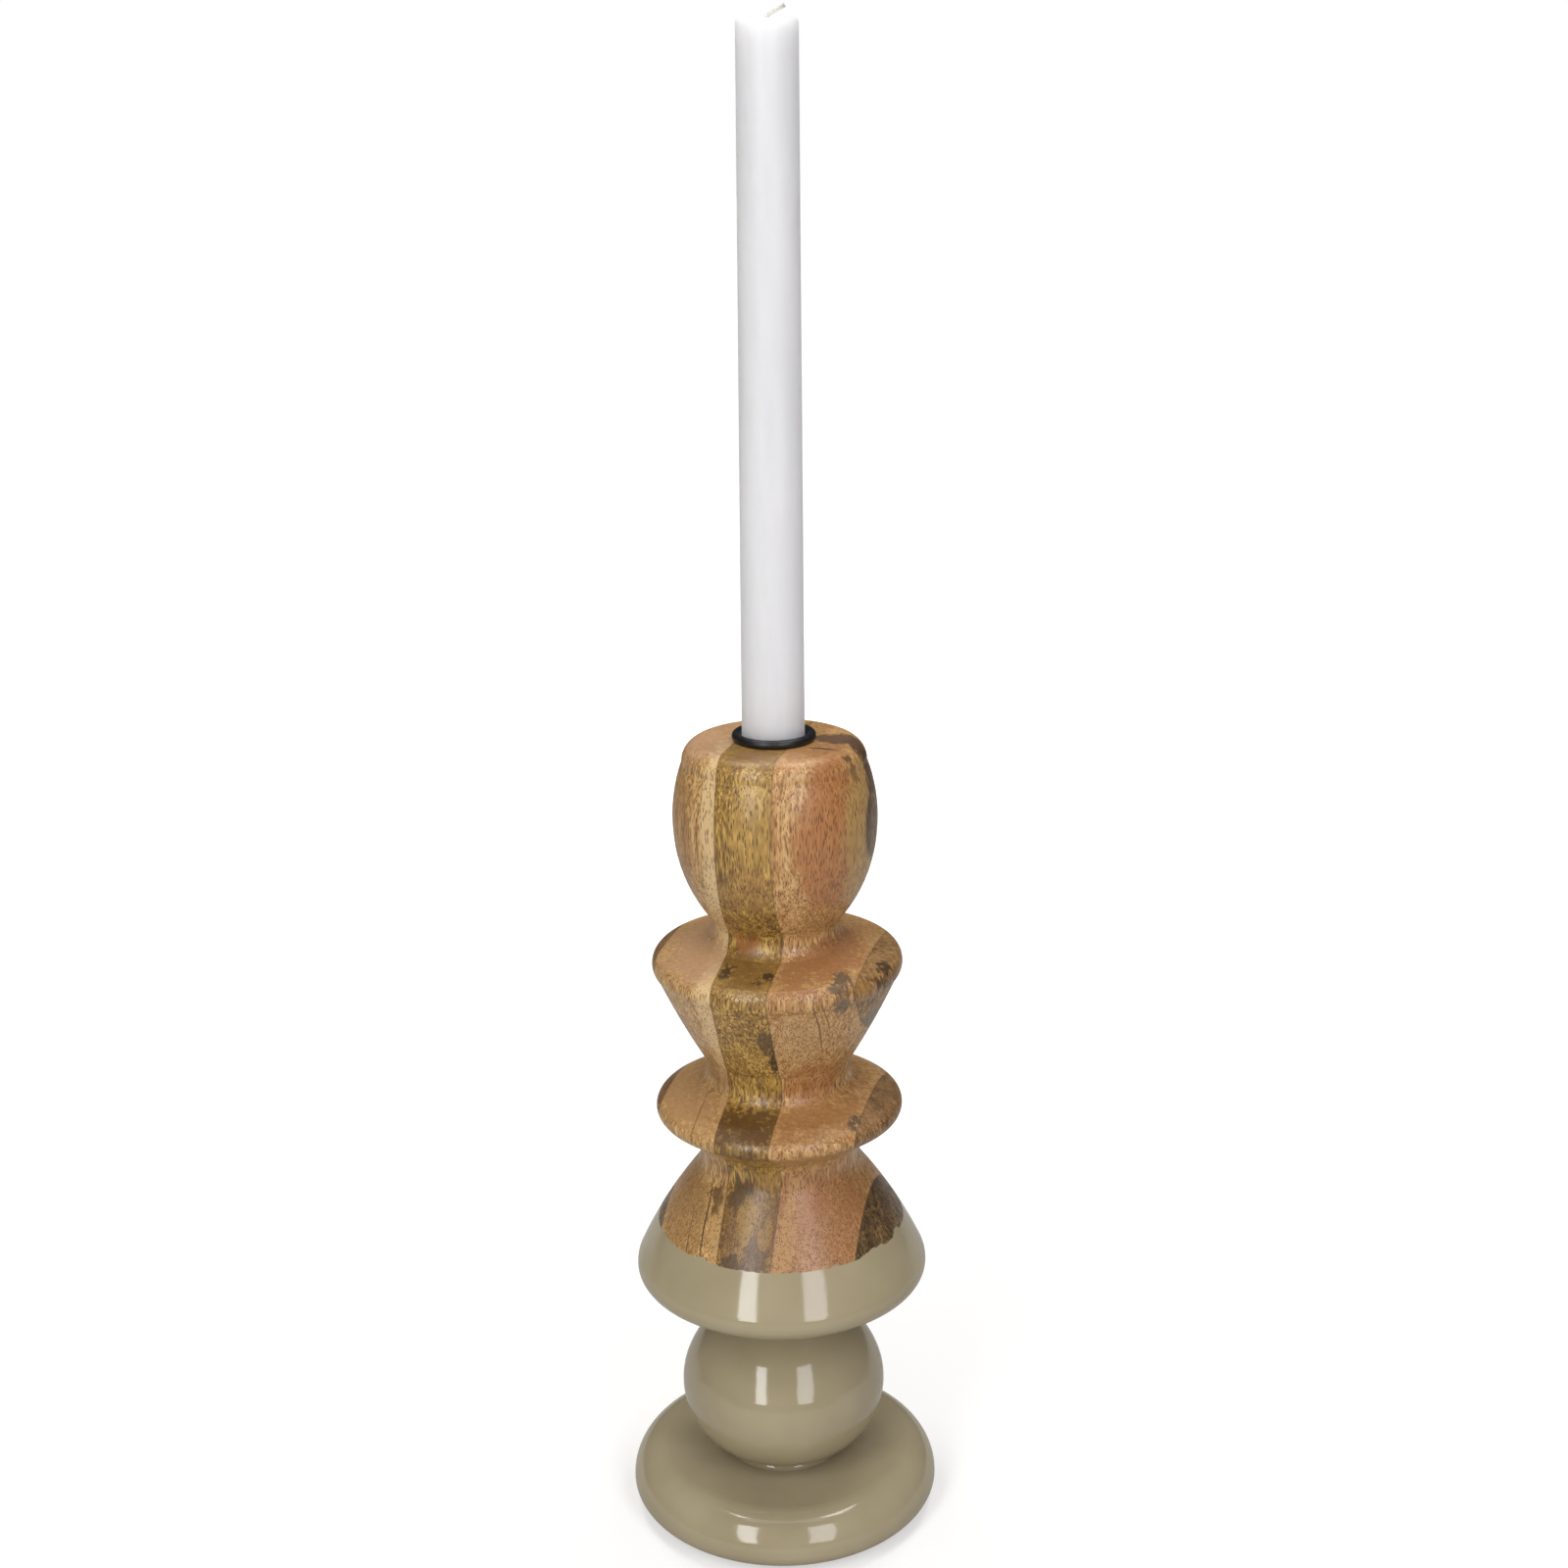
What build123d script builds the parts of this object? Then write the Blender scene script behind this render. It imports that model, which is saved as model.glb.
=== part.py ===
from build123d import *
import math
import os

os.makedirs("parts", exist_ok=True)

# A turned wooden candlestick, glued up from parallel planks, with an enamelled foot,
# a black metal candle cup and a tapered candle. Millimetres, +Z up, origin at the
# centre of the underside. An outline point is (radius, height above the table).

# Whole stick
FELT_THICKNESS = 1.0
FELT_RADIUS = 43.0
WOOD_FOOT = FELT_THICKNESS
WOOD_TOP = 300.4
FOOT_RADIUS = 44.8

# Round foot: fuller above its widest line than below it
FOOT_CENTRE = (FOOT_RADIUS, 8.6)
FOOT_ROUND = 12.9
FOOT_TOP = FOOT_CENTRE[1] + FOOT_ROUND
FOOT_DROP = FOOT_CENTRE[1] - WOOD_FOOT

# Flattened ball on the foot, with a small fillet where the two meet; its head is less curved
BALL_CENTRE = (11.1, 48.5)
BALL_ROUND = 27.0
BALL_FOOT_ANGLE = -68.0
BALL_SHOULDER_ANGLE = 21.5
BALL_HEAD_ROUND = 38.4
BALL_HEAD_ANGLE = 45.0
BALL_NECK = (20.6, 78.5)
BALL_FILLET_FOOT = (23.2, FOOT_TOP)
BALL_FILLET_WAIST = (21.5, 22.1)

# Cone with a round rim, and the small waist above it
RIM_CENTRE = (45.2, 99.6)
RIM_ROUND = 8.5
RIM_UNDER_HEIGHT = 6.6
RIM_UNDER_ANGLE = 304.3
RIM_SHOULDER_ANGLE = 27.0
ENAMEL_EDGE = (45.4, 117.6)
CONE_HEAD = (31.2, 138.5)
CONE_WAIST = (29.2, 146.0)
CONE_NECK = (31.2, 151.6)

# Lower disc: thin, with a sharp round edge
LOWER_DISC_UNDER = [(37.6, 156.5), (42.3, 159.7)]
LOWER_DISC_EDGE = (44.8, 163.4)
LOWER_DISC_TOP = [(43.2, 166.3), (38.0, 169.3)]
LOWER_NECK = [(30.5, 171.8), (26.6, 174.5), (26.2, 179.0)]

# Upper disc: a steep cone below, a gentle slope on top
UPPER_DISC_UNDER = [(27.6, 184.0), (36.0, 199.4), (43.2, 214.6)]
UPPER_DISC_EDGE = (44.8, 219.2)
UPPER_DISC_TOP = [(42.2, 223.2), (30.0, 226.3)]
UPPER_NECK = [(26.0, 227.3), (23.0, 231.0), (24.6, 237.5)]

# Bulb at the head
BULB_LOWER = [(31.8, 250.0), (35.7, 266.0)]
BULB_UPPER = [(35.7, 279.0), (32.4, 293.0)]
BULB_CORNER = [(30.3, 298.4), (26.6, WOOD_TOP)]

# Enamel, from the foot's lower edge up to a line on the cone
ENAMEL_THICKNESS = 0.35
NECK_CORNER_STEP = (-1.66, 0.25)

# Plank glue planes: upright, parallel and turned from the X axis
PLANK_TURN = -15.1
GLUE_PLANES = [-39.6, -12.2, 7.8, 34.9]

# Candle cup
CUP_FLOOR = 286.0
CUP_INNER_RADIUS = 11.5
CUP_WALL = 0.8
CUP_FLOOR_THICKNESS = 1.6
CUP_BEAD_RADIUS = 1.6
CUP_BEAD_HEIGHT = 1.4

# Countersunk screw that holds the cup
SCREW_RADIUS = 1.5
SCREW_HEAD_RADIUS = 2.8
SCREW_HEAD_DEPTH = 1.3
SCREW_HEAD_GAP = 0.1
SCREW_LENGTH = 14.0
SCREW_POINT = 3.0
SCREW_SLOT_WIDTH = 0.8
SCREW_SLOT_DEPTH = 0.6

# Candle, leaning a little in its cup as a candle does
CANDLE_LEAN = 0.35
CANDLE_SHIFT = -0.3
CANDLE_SEAT_GAP = 0.07
CANDLE_LENGTH = 250.5
CANDLE_FOOT_RADIUS = 11.05
CANDLE_HEAD_RADIUS = 10.1
CANDLE_EDGE = 0.8
WICK_RADIUS = 0.75
WICK_BEND_RADIUS = 1.8
WICK_BEND_ANGLE = 62.0
WICK_TIP = 5.6


def polar(centre, radius, angle):
    """Point on a circle, with the angle in degrees from the outward direction."""
    turn = math.radians(angle)
    return (centre[0] + radius * math.cos(turn), centre[1] + radius * math.sin(turn))


def draw_foot_to_rim(inset):
    """Draw the outline from the axis at the foot to the rim's shoulder, moved inwards by inset."""
    foot_round = FOOT_ROUND - inset
    foot_top = FOOT_TOP - inset
    ball_round = BALL_ROUND - inset
    fillet_foot = (BALL_FILLET_FOOT[0], foot_top)
    fillet_waist = (BALL_FILLET_WAIST[0] - inset, BALL_FILLET_WAIST[1] - inset)
    head_centre = polar(BALL_CENTRE, BALL_ROUND - BALL_HEAD_ROUND, BALL_SHOULDER_ANGLE)
    head_round = BALL_HEAD_ROUND - inset
    # The neck's inner corner keeps the coat as thick on both sides
    neck = (BALL_NECK[0] + NECK_CORNER_STEP[0] * inset, BALL_NECK[1] + NECK_CORNER_STEP[1] * inset)
    rim_round = RIM_ROUND - inset
    rim_under = RIM_UNDER_HEIGHT - inset
    Line((0, WOOD_FOOT), (FOOT_RADIUS, WOOD_FOOT))
    if inset:
        Line((FOOT_RADIUS, WOOD_FOOT), (FOOT_RADIUS, WOOD_FOOT + inset))
    EllipticalCenterArc(FOOT_CENTRE, foot_round, FOOT_DROP - inset, start_angle=270, arc_size=90)
    CenterArc(FOOT_CENTRE, foot_round, 0, 90)
    Line((FOOT_RADIUS, foot_top), fillet_foot)
    ThreePointArc(fillet_foot, fillet_waist, polar(BALL_CENTRE, ball_round, BALL_FOOT_ANGLE))
    CenterArc(BALL_CENTRE, ball_round, BALL_FOOT_ANGLE, BALL_SHOULDER_ANGLE - BALL_FOOT_ANGLE)
    CenterArc(head_centre, head_round, BALL_SHOULDER_ANGLE, BALL_HEAD_ANGLE - BALL_SHOULDER_ANGLE)
    under_arc = EllipticalCenterArc(
        RIM_CENTRE,
        rim_round,
        rim_under,
        start_angle=RIM_UNDER_ANGLE,
        arc_size=360 - RIM_UNDER_ANGLE,
    )
    Polyline(polar(head_centre, head_round, BALL_HEAD_ANGLE), neck, under_arc @ 0)
    CenterArc(RIM_CENTRE, rim_round, 0, RIM_SHOULDER_ANGLE)


def draw_cone_to_head():
    """Draw the outline from the rim's shoulder to the axis at the head."""
    ThreePointArc(polar(RIM_CENTRE, RIM_ROUND, RIM_SHOULDER_ANGLE), ENAMEL_EDGE, CONE_HEAD)
    ThreePointArc(CONE_HEAD, CONE_WAIST, CONE_NECK)
    Polyline(CONE_NECK, *LOWER_DISC_UNDER)
    ThreePointArc(LOWER_DISC_UNDER[-1], LOWER_DISC_EDGE, LOWER_DISC_TOP[0])
    Polyline(*LOWER_DISC_TOP, LOWER_NECK[0])
    ThreePointArc(*LOWER_NECK)
    Line(LOWER_NECK[-1], UPPER_DISC_UNDER[0])
    ThreePointArc(*UPPER_DISC_UNDER)
    ThreePointArc(UPPER_DISC_UNDER[-1], UPPER_DISC_EDGE, UPPER_DISC_TOP[0])
    Polyline(*UPPER_DISC_TOP, UPPER_NECK[0])
    ThreePointArc(*UPPER_NECK)
    ThreePointArc(UPPER_NECK[-1], *BULB_LOWER)
    ThreePointArc(BULB_LOWER[-1], *BULB_UPPER)
    ThreePointArc(BULB_UPPER[-1], *BULB_CORNER)
    Line(BULB_CORNER[-1], (0, WOOD_TOP))
    Line((0, WOOD_TOP), (0, WOOD_FOOT))


def finish(part, name, colour):
    """Label a finished piece, colour it and write its STEP file."""
    part.label = name
    part.color = Color(*colour)
    export_step(part, f"parts/{name}.step")


# The whole turned shape, enamel included
with BuildPart() as full_shape:
    with BuildSketch(Plane.XZ):
        with BuildLine():
            draw_foot_to_rim(0)
            draw_cone_to_head()
        make_face()
    revolve(axis=Axis.Z)

# The wood below the enamel's edge, one enamel thickness inside the full shape
with BuildPart() as coated_wood:
    with BuildSketch(Plane.XZ):
        with BuildLine():
            draw_foot_to_rim(ENAMEL_THICKNESS)
            inner_shoulder = polar(RIM_CENTRE, RIM_ROUND - ENAMEL_THICKNESS, RIM_SHOULDER_ANGLE)
            Line(inner_shoulder, (ENAMEL_EDGE[0] - ENAMEL_THICKNESS, ENAMEL_EDGE[1]))
            Line((ENAMEL_EDGE[0] - ENAMEL_THICKNESS, ENAMEL_EDGE[1]), (0, ENAMEL_EDGE[1]))
            Line((0, ENAMEL_EDGE[1]), (0, WOOD_FOOT))
        make_face()
    revolve(axis=Axis.Z)


def draw_screw():
    """Draw half of the countersunk screw's outline; its head lies just under the cup floor."""
    head = CUP_FLOOR - SCREW_HEAD_GAP
    neck = head - SCREW_HEAD_DEPTH
    tip = head - SCREW_LENGTH
    Polyline(
        (0, head),
        (SCREW_HEAD_RADIUS, head),
        (SCREW_RADIUS, neck),
        (SCREW_RADIUS, tip + SCREW_POINT),
        (0, tip),
        close=True,
    )


with BuildPart() as cup_screw:
    with BuildSketch(Plane.XZ):
        with BuildLine():
            draw_screw()
        make_face()
    revolve(axis=Axis.Z)
    screw_blank = cup_screw.part
    with Locations((0, 0, CUP_FLOOR - SCREW_HEAD_GAP)):
        Box(
            3 * SCREW_HEAD_RADIUS,
            SCREW_SLOT_WIDTH,
            2 * SCREW_SLOT_DEPTH,
            mode=Mode.SUBTRACT,
        )
finish(cup_screw.part, "cup_screw", (0.70, 0.68, 0.62))

with BuildPart() as candle_cup:
    cup_outer = CUP_INNER_RADIUS + CUP_WALL
    bead_centre = (CUP_INNER_RADIUS + CUP_BEAD_RADIUS, WOOD_TOP + CUP_BEAD_HEIGHT)
    with BuildSketch(Plane.XZ):
        with Locations(bead_centre):
            Circle(CUP_BEAD_RADIUS)
        with Locations((CUP_INNER_RADIUS, WOOD_TOP)):
            Rectangle(50, 50, align=(Align.MIN, Align.MIN), mode=Mode.INTERSECT)
        with Locations((CUP_INNER_RADIUS, CUP_FLOOR)):
            Rectangle(CUP_WALL, bead_centre[1] - CUP_FLOOR, align=(Align.MIN, Align.MIN))
        with Locations((0, CUP_FLOOR)):
            Rectangle(cup_outer, CUP_FLOOR_THICKNESS, align=(Align.MIN, Align.MAX))
    revolve(axis=Axis.Z)
    add(screw_blank, mode=Mode.SUBTRACT)
    with Locations((0, 0, CUP_FLOOR)):
        Cylinder(SCREW_HEAD_RADIUS, 2 * SCREW_HEAD_GAP, mode=Mode.SUBTRACT)
finish(candle_cup.part, "candle_cup", (0.05, 0.05, 0.06))

# Turned stick with the cup's pocket and the screw's hole, before it is parted into planks
with BuildPart() as turned_stick:
    add(full_shape.part)
    split(bisect_by=Plane.XY.offset(ENAMEL_EDGE[1]), keep=Keep.TOP)
    add(coated_wood.part)
    with Locations((0, 0, CUP_FLOOR - CUP_FLOOR_THICKNESS)):
        Cylinder(
            cup_outer,
            100,
            align=(Align.CENTER, Align.CENTER, Align.MIN),
            mode=Mode.SUBTRACT,
        )
    add(screw_blank, mode=Mode.SUBTRACT)

glue_normal = Vector(math.cos(math.radians(PLANK_TURN)), math.sin(math.radians(PLANK_TURN)), 0)
glue_cuts = [Plane(origin=glue_normal * reach, z_dir=glue_normal) for reach in GLUE_PLANES]


def plank(name, colour, above=None, below=None):
    """Part one plank from the stick, between two glue planes."""
    with BuildPart() as piece:
        add(turned_stick.part)
        if above is not None:
            split(bisect_by=glue_cuts[above], keep=Keep.TOP)
        if below is not None:
            split(bisect_by=glue_cuts[below], keep=Keep.BOTTOM)
    if name:
        finish(piece.part, name, colour)
    return piece.part


plank("left_plank", (0.80, 0.62, 0.42), above=0, below=1)
plank("brown_plank", (0.55, 0.42, 0.25), above=1, below=2)
plank("right_plank", (0.78, 0.55, 0.38), above=2, below=3)

# The outermost planks are cut into separate blocks by the turned waists
OUTER_BLOCKS = {
    "left": ["foot", "cone", "lower_disc", "upper_disc"],
    "right": ["foot", "ball", "cone", "lower_disc", "upper_disc", "bulb"],
}
outer_planks = {
    "left": plank(None, None, below=0),
    "right": plank(None, None, above=3),
}
for side, names in OUTER_BLOCKS.items():
    blocks = outer_planks[side].solids().sort_by(Axis.Z)
    for moulding, block in zip(names, blocks):
        finish(block, f"{side}_{moulding}_block", (0.45, 0.36, 0.26))

with BuildPart() as enamel_coat:
    add(full_shape.part)
    split(bisect_by=Plane.XY.offset(ENAMEL_EDGE[1]), keep=Keep.BOTTOM)
    add(coated_wood.part, mode=Mode.SUBTRACT)
finish(enamel_coat.part, "enamel_coat", (0.66, 0.62, 0.53))

with BuildPart() as felt_pad:
    Cylinder(FELT_RADIUS, FELT_THICKNESS, align=(Align.CENTER, Align.CENTER, Align.MIN))
finish(felt_pad.part, "felt_pad", (0.20, 0.20, 0.20))

# The candle's own plane: its x runs outwards and its y up the leaning centre line
candle_seat = (CANDLE_SHIFT, 0, CUP_FLOOR + CANDLE_SEAT_GAP)
lean = math.radians(CANDLE_LEAN)
candle_line = (math.sin(lean), 0, math.cos(lean))
candle_plane = Plane(origin=candle_seat, x_dir=(math.cos(lean), 0, -math.sin(lean)), z_dir=(0, -1, 0))

with BuildPart() as candle:
    with BuildSketch(candle_plane):
        with BuildLine():
            Polyline(
                (WICK_RADIUS, 0),
                (CANDLE_FOOT_RADIUS, 0),
                (CANDLE_HEAD_RADIUS, CANDLE_LENGTH),
                (WICK_RADIUS, CANDLE_LENGTH),
                close=True,
            )
        make_face()
    revolve(axis=Axis(candle_seat, candle_line))
    fillet(candle.edges().group_by(Axis.Z)[-1].sort_by(SortBy.RADIUS)[-1], CANDLE_EDGE)
finish(candle.part, "candle", (0.93, 0.93, 0.95))

with BuildPart() as candle_wick:
    with BuildLine(candle_plane) as wick_path:
        stem = Line((0, 0), (0, CANDLE_LENGTH))
        bend = JernArc(
            start=(0, CANDLE_LENGTH), tangent=(0, 1), radius=WICK_BEND_RADIUS, arc_size=-WICK_BEND_ANGLE
        )
        tip = Line(bend @ 1, bend @ 1 + (bend % 1) * WICK_TIP)
    with BuildSketch(Plane(origin=candle_seat, z_dir=candle_line)):
        Circle(WICK_RADIUS)
    sweep(path=wick_path.line)
finish(candle_wick.part, "candle_wick", (0.90, 0.88, 0.82))
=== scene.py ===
import math

import bpy
import numpy as np
from mathutils import Matrix, Vector


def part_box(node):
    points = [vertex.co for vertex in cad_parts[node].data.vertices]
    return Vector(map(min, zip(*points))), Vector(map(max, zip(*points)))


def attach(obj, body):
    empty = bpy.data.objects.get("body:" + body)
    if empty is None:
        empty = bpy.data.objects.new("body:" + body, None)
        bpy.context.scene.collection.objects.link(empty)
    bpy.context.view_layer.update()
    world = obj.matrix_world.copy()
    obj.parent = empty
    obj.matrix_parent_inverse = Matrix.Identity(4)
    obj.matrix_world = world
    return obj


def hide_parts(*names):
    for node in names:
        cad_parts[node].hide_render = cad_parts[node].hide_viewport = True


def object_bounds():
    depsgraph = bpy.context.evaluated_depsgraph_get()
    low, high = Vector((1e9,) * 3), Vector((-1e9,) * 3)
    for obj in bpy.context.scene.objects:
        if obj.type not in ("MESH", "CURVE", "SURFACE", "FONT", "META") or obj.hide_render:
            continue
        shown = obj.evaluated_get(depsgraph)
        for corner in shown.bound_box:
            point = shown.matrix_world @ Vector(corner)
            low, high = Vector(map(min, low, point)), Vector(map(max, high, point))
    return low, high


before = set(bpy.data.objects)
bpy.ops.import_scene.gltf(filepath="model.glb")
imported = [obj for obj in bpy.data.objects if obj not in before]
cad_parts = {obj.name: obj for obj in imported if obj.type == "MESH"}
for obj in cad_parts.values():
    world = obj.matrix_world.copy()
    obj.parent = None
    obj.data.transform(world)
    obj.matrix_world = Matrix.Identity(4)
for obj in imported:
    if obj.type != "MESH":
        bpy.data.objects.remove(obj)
cad_low, cad_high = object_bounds()

# Blender works in metres; patterns, planks and the wick are given in millimetres
MM = 0.001

# Planks: upright glue planes, parallel, turned from the X axis; reach along their normal
PLANK_TURN = -15.1
LEFT_GLUE_MM = -12.2
RIGHT_GLUE_MM = 7.8
OUTER_LEFT_GLUE_MM = -39.6
OUTER_RIGHT_GLUE_MM = 34.9

ENAMEL_TOP_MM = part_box("enamel_coat")[1].z / MM
ENAMEL_COLOUR = "#A09477"
ENAMEL_ROUGHNESS = 0.12

LACQUER_IOR = 1.5
PAINT_IOR = 1.5
WAX_IOR = 1.44

# Sizes in the wood, in millimetres
BEND_WIDTH = 40.0
FIBRE_WIDTH = 1.6
HAIR_WIDTH = 0.75
CRUMB_WIDTH = 2.2
PORE_LENGTH = 4.2
BRUSHED_WIDTH = 9.0
BRUSHED_PAST = 1.6
PORE_RELIEF = -0.04
HAIR_RELIEF = 0.015

# A wave texture of scale 1 has a ring every 0.314
RING_AT_SCALE_ONE = 0.314


def linear(code):
    """sRGB hex colour as linear red, green, blue and alpha, which is 1."""
    parts = [int(code[i : i + 2], 16) / 255 for i in (1, 3, 5)]
    curve = [c / 12.92 if c <= 0.04045 else ((c + 0.055) / 1.055) ** 2.4 for c in parts]
    return (*curve, 1.0)


def add(tree, kind, inputs=None, stops=None, **settings):
    """Add a node: settings are its properties, inputs its sockets, each a value or a socket to link."""
    node = tree.nodes.new(kind)
    for name, value in settings.items():
        setattr(node, name, value)
    for key, value in (inputs or {}).items():
        if isinstance(value, bpy.types.NodeSocket):
            tree.links.new(value, node.inputs[key])
        else:
            node.inputs[key].default_value = value
    if stops:
        elements = node.color_ramp.elements
        while len(elements) < len(stops):
            elements.new(1.0)
        for element, (position, code) in zip(elements, stops):
            element.position = position
            element.color = linear(code)
    return node


def new_material(name):
    """Material with an empty tree; returns it, the tree and its object coordinates in millimetres."""
    material = bpy.data.materials.new(name)
    material.use_nodes = True
    tree = material.node_tree
    tree.nodes.clear()
    metres = add(tree, "ShaderNodeTexCoord").outputs["Object"]
    place = add(tree, "ShaderNodeMapping", {"Vector": metres, "Scale": (1 / MM, 1 / MM, 1 / MM)})
    return material, tree, place.outputs[0]


def close(tree, inputs):
    """Send a Principled shader with these inputs to the material's output."""
    shader = add(tree, "ShaderNodeBsdfPrincipled", inputs)
    add(tree, "ShaderNodeOutputMaterial", {"Surface": shader.outputs[0]})


def tint(tree, base, mask, code, strength=1.0):
    """Mix a hex colour over a colour socket where the mask is on."""
    share = add(tree, "ShaderNodeMath", {0: mask, 1: strength}, operation="MULTIPLY", use_clamp=True)
    mix = add(
        tree,
        "ShaderNodeMix",
        {0: share.outputs[0], 6: base, 7: linear(code)},
        data_type="RGBA",
    )
    return mix.outputs[2]


def patch(tree, place, centre, radii, edge=0.22):
    """Mask of an ellipsoid round a point, in millimetres: 1 inside, fading to 0 across its edge."""
    offset = add(tree, "ShaderNodeVectorMath", {0: place, 1: centre}, operation="SUBTRACT")
    scaled = add(tree, "ShaderNodeVectorMath", {0: offset.outputs[0], 1: radii}, operation="DIVIDE")
    reach = add(tree, "ShaderNodeVectorMath", {0: scaled.outputs[0]}, operation="LENGTH")
    fade = add(
        tree,
        "ShaderNodeMapRange",
        {0: reach.outputs["Value"], 1: 1 - edge, 2: 1 + edge, 3: 1.0, 4: 0.0},
        interpolation_type="SMOOTHSTEP",
    )
    return fade.outputs[0]


def wander(tree, place, width, detail):
    """Vector that wanders by up to about half a unit each way, over bends of a width."""
    noise = add(
        tree, "ShaderNodeTexNoise", {"Vector": place, "Scale": 1 / width, "Detail": detail}
    ).outputs["Color"]
    return add(
        tree, "ShaderNodeVectorMath", {0: noise, 1: (0.5, 0.5, 0.5)}, operation="SUBTRACT"
    ).outputs[0]


def grain(tree, place, look):
    """Fields that the wood's colour and relief share, each a socket, by name.

    bends is a slow wander of the grain, and bent the place after it. streaks, hairs and clouds
    are tones from 0 to 1, and upright is 1 on walls and lower on flat faces.
    """
    drift = add(tree, "ShaderNodeMapping", {"Vector": place, "Scale": (1, 1, 0.4)}).outputs[0]
    bends = wander(tree, drift, BEND_WIDTH, 2.0)
    bent = add(
        tree,
        "ShaderNodeVectorMath",
        {0: bends, 1: (look["bend"],) * 3, 2: place},
        operation="MULTIPLY_ADD",
    ).outputs[0]
    # Flat top faces show the grain end on, filled and calmed by the lacquer
    normal = add(tree, "ShaderNodeNewGeometry").outputs["Normal"]
    facing = add(tree, "ShaderNodeSeparateXYZ", {0: normal}).outputs["Z"]
    upright = add(
        tree, "ShaderNodeMapRange", {0: facing, 1: 0.5, 2: 0.95, 3: 1.0, 4: 0.25}
    ).outputs[0]
    fibres = add(tree, "ShaderNodeMapping", {"Vector": bent, "Scale": (1, 1, 0.05)}).outputs[0]
    streaks = add(
        tree,
        "ShaderNodeTexNoise",
        {"Vector": fibres, "Scale": 1 / FIBRE_WIDTH, "Detail": 5.0, "Roughness": 0.65},
    ).outputs["Fac"]
    drawn_out = add(tree, "ShaderNodeMapping", {"Vector": bent, "Scale": (1, 1, 0.16)}).outputs[0]
    hairs = add(
        tree,
        "ShaderNodeTexNoise",
        {"Vector": drawn_out, "Scale": 1 / HAIR_WIDTH, "Detail": 2.0, "Roughness": 0.6},
    ).outputs["Fac"]
    hairs = add(tree, "ShaderNodeMath", {0: hairs, 1: 0.5}, operation="SUBTRACT").outputs[0]
    hairs = add(
        tree, "ShaderNodeMath", {0: hairs, 1: upright, 2: 0.5}, operation="MULTIPLY_ADD"
    ).outputs[0]
    clouds = add(
        tree,
        "ShaderNodeTexNoise",
        {"Vector": drift, "Scale": 1 / look["cloud"], "Detail": 4.0, "Roughness": 0.6},
    ).outputs["Fac"]
    return {
        "bends": bends,
        "bent": bent,
        "upright": upright,
        "streaks": streaks,
        "hairs": hairs,
        "clouds": clouds,
    }


def clean_wood(tree, look, fields):
    """Colour before stains: rings round the pith, streaks, clouds and hairs added up to one tone."""
    pith = add(
        tree,
        "ShaderNodeMapping",
        {
            "Vector": fields["bent"],
            "Location": (-look["pith"][0], -look["pith"][1], 0),
            "Rotation": (math.radians(look["tilt"]), math.radians(-look["tilt"] / 2), 0),
        },
    ).outputs[0]
    rings = add(
        tree,
        "ShaderNodeTexWave",
        {
            "Vector": pith,
            "Scale": RING_AT_SCALE_ONE / look["ring"],
            "Distortion": 1.2,
            "Detail": 2.0,
            "Detail Scale": 0.3,
        },
        wave_type="RINGS",
        rings_direction="Z",
        wave_profile="SAW",
    ).outputs["Fac"]
    # Each field swings round 0.5 by its share, so the sum starts where the whole swings round 0.5
    shares = [(rings, "rings"), *((fields[name], name) for name in ("streaks", "clouds", "hairs"))]
    tone = 0.5 - 0.5 * sum(look[name] for _, name in shares)
    for field, name in shares:
        tone = add(
            tree, "ShaderNodeMath", {0: field, 1: look[name], 2: tone}, operation="MULTIPLY_ADD"
        ).outputs[0]
    return add(
        tree,
        "ShaderNodeValToRGB",
        {"Fac": tone},
        [(0.1, look["dark"]), (0.5, look["middle"]), (0.9, look["pale"])],
    ).outputs["Color"]


def stained(tree, colour, place, fields, stains, cracks):
    """Stains keep to their places, with crumbly edges that follow the grain; cracks are sharper."""
    grainy = add(tree, "ShaderNodeMapping", {"Vector": place, "Scale": (1, 1, 0.2)}).outputs[0]
    crumbs = wander(tree, grainy, CRUMB_WIDTH, 4.0)
    ragged = place
    for wandering, reach in ((fields["bends"], (9, 9, 15)), (crumbs, (8, 8, 20))):
        ragged = add(
            tree,
            "ShaderNodeVectorMath",
            {0: wandering, 1: reach, 2: ragged},
            operation="MULTIPLY_ADD",
        ).outputs[0]
    for around, marks in ((ragged, stains), (fields["bent"], cracks)):
        for centre, radii, code, strength in marks:
            colour = tint(tree, colour, patch(tree, around, centre, radii), code, strength)
    return colour


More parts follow.
